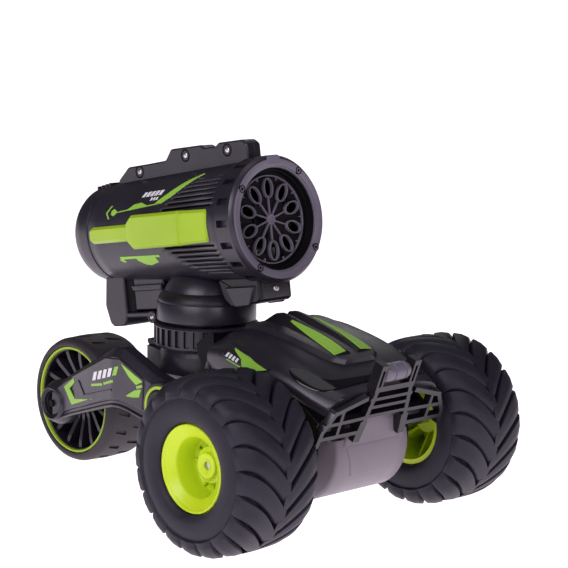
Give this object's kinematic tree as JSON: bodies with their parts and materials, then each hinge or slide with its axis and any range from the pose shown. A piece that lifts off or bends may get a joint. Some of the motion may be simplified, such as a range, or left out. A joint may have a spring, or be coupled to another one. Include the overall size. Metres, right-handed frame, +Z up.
{
  "type": "remote control stunt car",
  "caption": "Three-wheeled remote control stunt car with a folding frame, lugged front tyres and a panning bubble cannon on a turret.",
  "frame": {"origin": "on the ground, midway between the rear tyre's back and the brush guard's tip, on the car's middle plane", "axes": "+X forwards (towards the brush guard), +Y to the car's left, +Z up"},
  "size_m": [0.2808, 0.2006, 0.1942],
  "materials": {
    "shell_charcoal": "satin moulded plastic, fine grain",
    "shell_black": "satin moulded plastic",
    "belly_grey": "smooth satin moulded plastic",
    "gloss_black": "glossy moulded plastic",
    "lime": "bright lime moulded plastic",
    "tyre_rubber": "matt moulded rubber",
    "steel": "bright zinc-plated steel",
    "motor_can": "plated motor can",
    "board_green": "solder-masked board",
    "cell_wrap": "shrink-wrapped battery cells",
    "switch_red": "red moulded plastic",
    "tank_clear": "natural moulded plastic"
  },
  "bodies": {
    "chassis": {"axle_housing": "belly_grey", "chassis_tub": "shell_black", "hood": "shell_charcoal", "hood_stripes": "lime", "nose_visor": "gloss_black", "brush_guard": "shell_black", "guard_lamp": "gloss_black", "rear_bulkhead": "shell_charcoal", "battery_box": "shell_charcoal", "battery_door": "shell_charcoal", "battery_pack": "cell_wrap", "pivot_bracket": "shell_black", "pivot_shaft": "steel", "fold_motor": "motor_can", "control_board": "board_green", "body_screws": "steel", "gearbox_left": "shell_black", "gearbox_right": "shell_black", "drive_motor_left": "motor_can", "drive_motor_right": "motor_can"},
    "front_left_wheel": {"tyre_front_left": "tyre_rubber", "rim_front_left": "lime", "drive_shaft_left": "steel"},
    "front_right_wheel": {"tyre_front_right": "tyre_rubber", "rim_front_right": "lime", "drive_shaft_right": "steel"},
    "rear_arms": {"arm_left": "shell_charcoal", "arm_right": "shell_charcoal", "arm_cover_left": "shell_black", "arm_cover_right": "shell_black", "pivot_ring_left": "lime", "pivot_ring_right": "lime", "arm_spacer": "shell_black", "rear_axle": "steel"},
    "rear_wheel": {"tyre_rear": "tyre_rubber", "rim_rear": "shell_black", "rim_bands": "lime"},
    "turret_base": {"neck_base": "shell_charcoal", "switch_housing": "shell_black"},
    "switch": {"power_slider": "switch_red"},
    "collar": {"locking_collar": "shell_black"},
    "cannon": {"turret_head": "shell_charcoal", "barrel_shell_left": "shell_charcoal", "barrel_shell_right": "shell_charcoal", "shell_screws": "steel", "muzzle_ring": "shell_charcoal", "face_plate": "shell_charcoal", "face_screws": "steel", "bubble_loops": "shell_black", "wiper_motor": "motor_can", "fan_motor": "motor_can", "solution_tray": "tank_clear", "tail_cap": "shell_charcoal", "filler_plug": "shell_black", "side_bar_left": "lime", "side_bar_right": "lime", "rear_tray": "shell_charcoal", "chin_bracket": "shell_charcoal"},
    "wiper_rotor": {"wiper": "shell_black"},
    "fan": {"fan_wheel": "shell_black"}
  },
  "joints": [
    {"name": "front_left_spin", "type": "hinge", "parent": "chassis", "child": "front_left_wheel", "pos_m": [0.0932, 0.0753, 0.045], "axis": [0, 1, 0], "continuous": true},
    {"name": "front_right_spin", "type": "hinge", "parent": "chassis", "child": "front_right_wheel", "pos_m": [0.0932, -0.0753, 0.045], "axis": [0, 1, 0], "continuous": true},
    {"name": "fold", "type": "hinge", "parent": "chassis", "child": "rear_arms", "pos_m": [0.0082, 0, 0.0537], "axis": [0, -1, 0], "range_deg": [0, 52.4]},
    {"name": "rear_spin", "type": "hinge", "parent": "rear_arms", "child": "rear_wheel", "pos_m": [-0.1048, 0, 0.0364], "axis": [0, 1, 0], "continuous": true},
    {"name": "turret_tilt", "type": "hinge", "parent": "chassis", "child": "turret_base", "pos_m": [0.0082, 0, 0.0537], "axis": [0, -1, 0], "range_deg": [0, 40.5]},
    {"name": "switch_slide", "type": "slide", "parent": "turret_base", "child": "switch", "axis": [0, 1, 0], "range_m": [0, 0.004]},
    {"name": "collar_twist", "type": "hinge", "parent": "turret_base", "child": "collar", "pos_m": [-0.0058, 0, 0.087], "axis": [0, 0, 1], "range_deg": [0, 60]},
    {"name": "cannon_pan", "type": "hinge", "parent": "turret_base", "child": "cannon", "pos_m": [-0.0058, 0, 0.095], "axis": [0, 0, 1], "range_deg": [-90, 90]},
    {"name": "wiper_spin", "type": "hinge", "parent": "cannon", "child": "wiper_rotor", "pos_m": [0.04092, 0, 0.15283], "axis": [0.9888, 0, 0.1495], "continuous": true},
    {"name": "fan_spin", "type": "hinge", "parent": "cannon", "child": "fan", "pos_m": [-0.00209, 0, 0.14633], "axis": [0.9888, 0, 0.1495], "continuous": true}
  ],
  "couplings": [
    {"joint": "turret_tilt", "follows": "fold", "ratio": 0.77}
  ]
}
